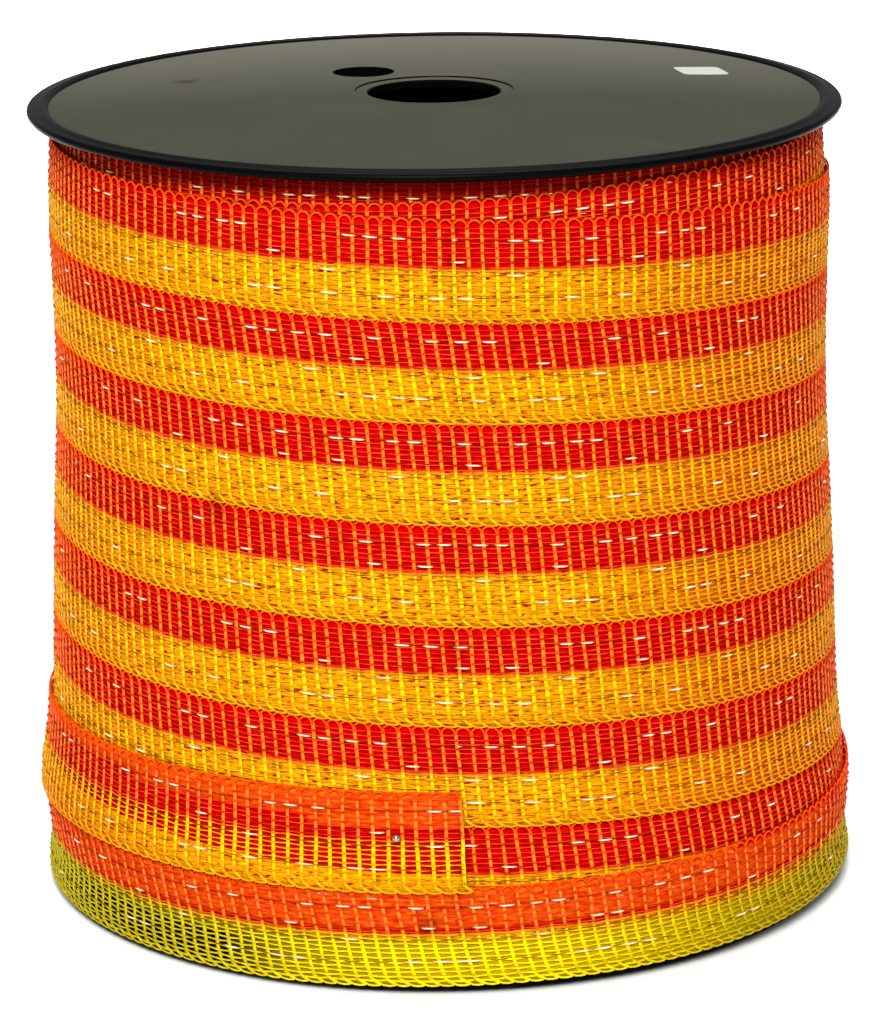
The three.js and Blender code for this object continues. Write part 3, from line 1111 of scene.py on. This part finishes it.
def sticker():
    """A thin closed sheet with a superellipse outline, laid on the flange's face.

    x = a sign(cos t) |cos t|^(1/4) and y likewise with sin, times s from 0 to 1, turned
    and moved into place. Its height is the face's at that distance from the axis.
    """
    outline = TURN * np.arange(64) / 64
    share = np.array([0.02, 0.4, 0.75, 0.97, 1.0])
    share = np.concatenate([share, share[::-1]])
    lift = np.array([0.16, 0.16, 0.16, 0.16, 0.12, 0.02, 0.01, 0.01, 0.01, 0.01])
    half = STICKER_SIZE / 2
    x = half * np.sign(np.cos(outline)) * np.abs(np.cos(outline)) ** 0.25
    y = half * np.sign(np.sin(outline)) * np.abs(np.sin(outline)) ** 0.25
    ring_x = share[:, None] * (x * np.cos(STICKER_TURN) - y * np.sin(STICKER_TURN))
    ring_y = share[:, None] * (x * np.sin(STICKER_TURN) + y * np.cos(STICKER_TURN))
    rings = np.empty((1, len(share), len(outline), 3))
    rings[0, :, :, 0] = ring_x + STICKER_MIDDLE[0]
    rings[0, :, :, 1] = ring_y + STICKER_MIDDLE[1]
    reach = np.hypot(rings[0, :, :, 0], rings[0, :, :, 1])
    radius, height = flange_profile(CROWN_RISE)
    face = slice(*FACE_POINTS)
    rings[0, :, :, 2] = np.interp(reach, radius[face], height[face]) + LIP_HEIGHT + lift[:, None]
    points, faces = skin(rings)
    return points, faces, 0, None


print("sticker, mm along a side:", STICKER_SIZE)

# %% The pin and the core


def turned_along(profile, middle, direction, steps):
    """A closed body turned round any axis: middle + direction * l + r (side, up)."""
    angle = TURN * np.arange(steps) / steps
    side = np.cross(direction, (0.0, 0.0, 1.0))
    side /= np.linalg.norm(side)
    up = np.cross(side, direction)
    spoke = np.cos(angle)[:, None] * side + np.sin(angle)[:, None] * up
    length, radius = profile[:, 0], profile[:, 1]
    rings = middle + length[:, None, None] * direction + radius[:, None, None] * spoke
    points, faces = skin(rings[None])
    return points, faces, 0, None


def pin_profile():
    """Length and radius along the pin: a round ball, then a thin shank to a point."""
    polar = np.linspace(0.06, np.pi - 0.45, 16)
    ball = np.stack([-0.78 * np.cos(polar), 0.78 * np.sin(polar)], axis=1)
    shank = np.array([(0.9, 0.3), (1.1, 0.27), (10.5, 0.27), (12.0, 0.02)])
    return np.concatenate([ball, shank])


def core_tube():
    """A hollow barrel: an outline with chamfered ends, turned round the axis."""
    core_low, core_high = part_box("core_tube")
    low, high = core_low.z / MM, core_high.z / MM
    outside = core_high.x / MM
    inside = outside - 2.5
    radius = np.array([inside, inside, inside + 0.5, outside - 0.5, outside, outside])
    height = np.array([0.5, -0.5, 0.0, 0.0, -0.5, 0.5])
    radius = np.concatenate([radius, radius[::-1]])[1:-1]
    height = np.concatenate([high + height, low - height[::-1]])[1:-1]
    radius = np.concatenate([radius, [inside]])
    height = np.concatenate([height, [low + 0.5]])
    points, faces = turned(radius, height, 128)
    return points, faces, 0, None


print("length of the pin, mm:", np.ptp(pin_profile()[:, 0]).round(1))

# %% Put the small pieces in place
PIN_AROUND = 8 * 360 - 6.7
PIN_BELOW = 8.55
PIN_OUT = 0.75
pin_place, pin_outward = tape_point(PIN_AROUND, np.array(PIN_BELOW), np.array(PIN_OUT))
paper = plain_material("bare sticker paper", "#a9ada6", 0.8, 0.1)
nickelled_steel = plain_material("polished nickelled steel", "#b0a89c", 0.22, metallic=1.0)
small_pieces = (
    ("sticker_shown", sticker(), paper, "sticker_paper", "label_sticker"),
    (
        "pin_shown", turned_along(pin_profile(), pin_place, -pin_outward, 24),
        nickelled_steel, "pin_steel", "end_pin",
    ),
    ("core_shown", core_tube(), black_plastic, "core_plastic", "core_tube"),
)
for name, part, material, slot, node in small_pieces:
    piece = mesh_of(name, [part], [material], SHARP_ANGLE)
    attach(piece, "root")
    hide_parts(node)
    print(name, "triangles:", triangles(piece))
print("pin head at, mm:", pin_place.round(1).tolist())

# %% [markdown]
# The ground and the light
# The picture this scene is matched to is a plain catalogue photograph: a white ground, one
# broad soft light from above the camera, a weaker one overhead, and one that lights only
# the ground behind, so that the ground turns white while the flange stays dark.

# %% Ground, lights and world
def floor():
    """One closed flat slab, 6 m by 6 m, with its top at height zero."""
    rings = np.array([[[-3, -3], [3, -3], [3, 3], [-3, 3]]]) * 1000.0
    slab = np.empty((1, 2, 4, 3))
    slab[0, :, :, :2] = rings
    slab[0, 0, :, 2] = -20.0
    slab[0, 1, :, 2] = 0.0
    points, faces = skin(slab)
    return points, faces, 0, None


ground = mesh_of("ground", [floor()], [plain_material("white ground", "#f4f4f2", 0.9, 0.0)])


def area_light(name, place, target, size, power, spread=np.pi):
    """A round lamp at place that looks at target, in metres and watts."""
    light = bpy.data.lights.new(name, "AREA")
    light.shape = "DISK"
    light.spread = spread
    light.size = size
    light.energy = power
    lamp = bpy.data.objects.new(name, light)
    lamp.location = place
    direction = mathutils.Vector(target) - mathutils.Vector(place)
    lamp.rotation_euler = direction.to_track_quat("-Z", "Y").to_euler()
    bpy.context.scene.collection.objects.link(lamp)
    return lamp


# The spool's middle, which the lamps look at.
middle = (0, 0, 0.08)
area_light("key", (-0.12, -1.3, 1.15), middle, 0.8, 38)
area_light("overhead", (0.0, 0.6, 1.8), middle, 1.6, 16)
area_light("background", (0.0, 1.7, 1.7), (0, 1.7, 0), 1.6, 100, np.radians(80))

world = bpy.data.worlds.new("white room")
world.use_nodes = True
backdrop = world.node_tree.nodes["Background"]
backdrop.inputs["Color"].default_value = linear("#f4f4f4")
backdrop.inputs["Strength"].default_value = 0.4
bpy.context.scene.world = world
bpy.context.scene.view_settings.view_transform = "Standard"

# %% [markdown]
# The camera
# The camera was fitted to the flange's two ellipses and to the spool's height, which gives
# a long lens, 0.9 m away and 0.3 m up, looking 15 degrees down.

# %% Camera
LENS_LENGTH = 162.27
CAMERA_PLACE = (0, -0.89714, 0.31512)
LOOKING_DOWN = 0.2641
CAMERA_ROLL = -0.0132

lens = bpy.data.cameras.new("camera")
lens.sensor_width = 36
lens.lens = LENS_LENGTH
lens.clip_start = 0.05
lens.clip_end = 20
camera = bpy.data.objects.new("camera", lens)
camera.location = CAMERA_PLACE
level = mathutils.Matrix.Rotation(np.pi / 2 - LOOKING_DOWN, 4, "X")
rolled = mathutils.Matrix.Rotation(CAMERA_ROLL, 4, "Z")
camera.rotation_euler = (level @ rolled).to_euler()
bpy.context.scene.collection.objects.link(camera)
bpy.context.scene.camera = camera
print("camera at", [round(v, 4) for v in camera.location], "lens", round(lens.lens, 1))
